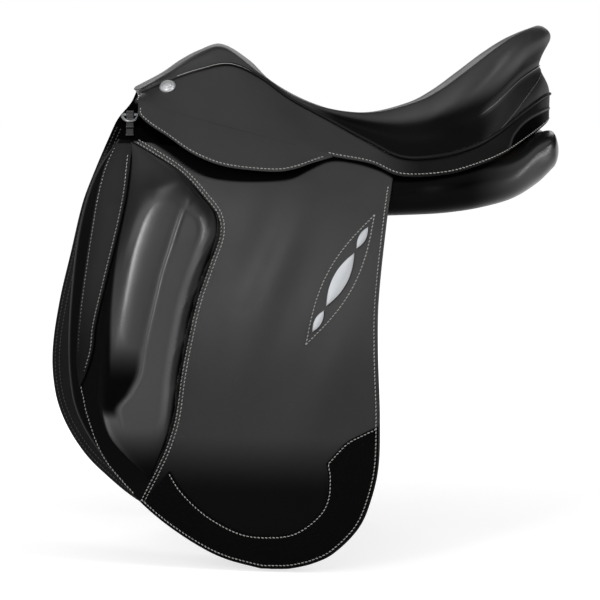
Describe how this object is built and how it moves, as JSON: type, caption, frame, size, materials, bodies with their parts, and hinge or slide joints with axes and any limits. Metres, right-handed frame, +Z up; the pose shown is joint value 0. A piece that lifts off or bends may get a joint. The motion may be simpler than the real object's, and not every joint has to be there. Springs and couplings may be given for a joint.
{
  "type": "dressage saddle",
  "caption": "Black leather dressage saddle with a deep seat, long straight flaps, thigh blocks, stuffed panels and girth straps on a wooden tree.",
  "frame": {"origin": "on the middle plane, under the seat's lowest point, at the level where the panels bear on the horse's back", "axes": "+X back towards the cantle, +Y to the horse's right, +Z up"},
  "size_m": [0.5419, 0.4124, 0.5735],
  "materials": {
    "black_leather": "satin, fine grain",
    "soft_leather": "dull, soft",
    "lining": "dull",
    "webbing": "woven, undyed",
    "foam": "open-cell foam",
    "tree_wood": "laminated beech, sealed",
    "steel": "forged and brushed",
    "silver": "polished",
    "silver_inlay": "metallic silver leather"
  },
  "bodies": {
    "saddle": {"tree_head": "tree_wood", "tree_frame": "tree_wood", "gullet_plate": "steel", "head_rivets": "steel", "spring_steel_left": "steel", "spring_steel_right": "steel", "stirrup_bar_left": "steel", "stirrup_bar_right": "steel", "bar_rivets": "steel", "catch_pin_left": "steel", "catch_pin_right": "steel", "girth_web_front": "webbing", "girth_web_rear": "webbing", "seat_foam": "foam", "seat_cover": "black_leather", "seat_welt_left": "soft_leather", "seat_welt_right": "soft_leather", "skirt_left": "black_leather", "skirt_right": "black_leather", "skirt_nail_left": "silver", "skirt_nail_right": "silver", "panel_left": "soft_leather", "panel_right": "soft_leather", "channel_lining": "lining", "sweat_flap_left": "soft_leather", "sweat_flap_right": "soft_leather", "point_pocket_left": "lining", "point_pocket_right": "lining", "dee_chape_left": "soft_leather", "dee_chape_right": "soft_leather"},
    "left_flap": {"flap_left": "black_leather", "thigh_block_left": "black_leather", "block_facing_left": "soft_leather", "flap_patch_left": "soft_leather", "flap_inlay_left": "silver_inlay"},
    "right_flap": {"flap_right": "black_leather", "thigh_block_right": "black_leather", "block_facing_right": "soft_leather", "flap_patch_right": "soft_leather", "flap_inlay_right": "silver_inlay"},
    "left_lobe": {"skirt_lobe_left": "black_leather"},
    "right_lobe": {"skirt_lobe_right": "black_leather"},
    "left_catch": {"bar_catch_left": "steel"},
    "right_catch": {"bar_catch_right": "steel"},
    "left_dee": {"front_dee_left": "silver"},
    "right_dee": {"front_dee_right": "silver"},
    "left_front_strap": {"front_strap_left": "soft_leather"},
    "right_front_strap": {"front_strap_right": "soft_leather"},
    "left_rear_strap": {"rear_strap_left": "soft_leather"},
    "right_rear_strap": {"rear_strap_right": "soft_leather"}
  },
  "joints": [
    {"name": "right_flap_lift", "type": "hinge", "parent": "saddle", "child": "right_flap", "pos_m": [-0.25, 0.088, 0.1162], "axis": [0.9493, 0.1843, -0.2545], "range_deg": [0, 85]},
    {"name": "right_lobe_lift", "type": "hinge", "parent": "right_flap", "child": "right_lobe", "pos_m": [-0.25, 0.088, 0.1162], "axis": [0.9493, 0.1843, -0.2545], "range_deg": [0, 80]},
    {"name": "right_catch_turn", "type": "hinge", "parent": "saddle", "child": "right_catch", "pos_m": [-0.12917, 0.11472, 0.07348], "axis": [0, -0.766, -0.6428], "range_deg": [0, 75]},
    {"name": "right_dee_swing", "type": "hinge", "parent": "saddle", "child": "right_dee", "pos_m": [-0.26068, 0.08793, 0.10357], "axis": [0.9997, 0.0256, 0], "range_deg": [0, 100]},
    {"name": "right_front_strap_swing", "type": "hinge", "parent": "saddle", "child": "right_front_strap", "pos_m": [-0.08956, 0.13409, 0.03486], "axis": [-0.153, 0.9821, 0.11], "range_deg": [-1.5, 3]},
    {"name": "right_rear_strap_swing", "type": "hinge", "parent": "saddle", "child": "right_rear_strap", "pos_m": [-0.04389, 0.13593, 0.03405], "axis": [-0.1335, 0.9841, 0.1171], "range_deg": [-2.5, 1.5]},
    {"name": "left_flap_lift", "type": "hinge", "parent": "saddle", "child": "left_flap", "pos_m": [-0.25, -0.088, 0.1162], "axis": [-0.9493, 0.1843, 0.2545], "range_deg": [0, 85]},
    {"name": "left_lobe_lift", "type": "hinge", "parent": "left_flap", "child": "left_lobe", "pos_m": [-0.25, -0.088, 0.1162], "axis": [-0.9493, 0.1843, 0.2545], "range_deg": [0, 80]},
    {"name": "left_catch_turn", "type": "hinge", "parent": "saddle", "child": "left_catch", "pos_m": [-0.12917, -0.11472, 0.07348], "axis": [0, -0.766, 0.6428], "range_deg": [0, 75]},
    {"name": "left_dee_swing", "type": "hinge", "parent": "saddle", "child": "left_dee", "pos_m": [-0.26068, -0.08793, 0.10357], "axis": [-0.9997, 0.0256, 0], "range_deg": [0, 100]},
    {"name": "left_front_strap_swing", "type": "hinge", "parent": "saddle", "child": "left_front_strap", "pos_m": [-0.08956, -0.13409, 0.03486], "axis": [0.153, 0.9821, -0.11], "range_deg": [-1.5, 3]},
    {"name": "left_rear_strap_swing", "type": "hinge", "parent": "saddle", "child": "left_rear_strap", "pos_m": [-0.04389, -0.13593, 0.03405], "axis": [0.1335, 0.9841, -0.1171], "range_deg": [-2.5, 1.5]}
  ]
}
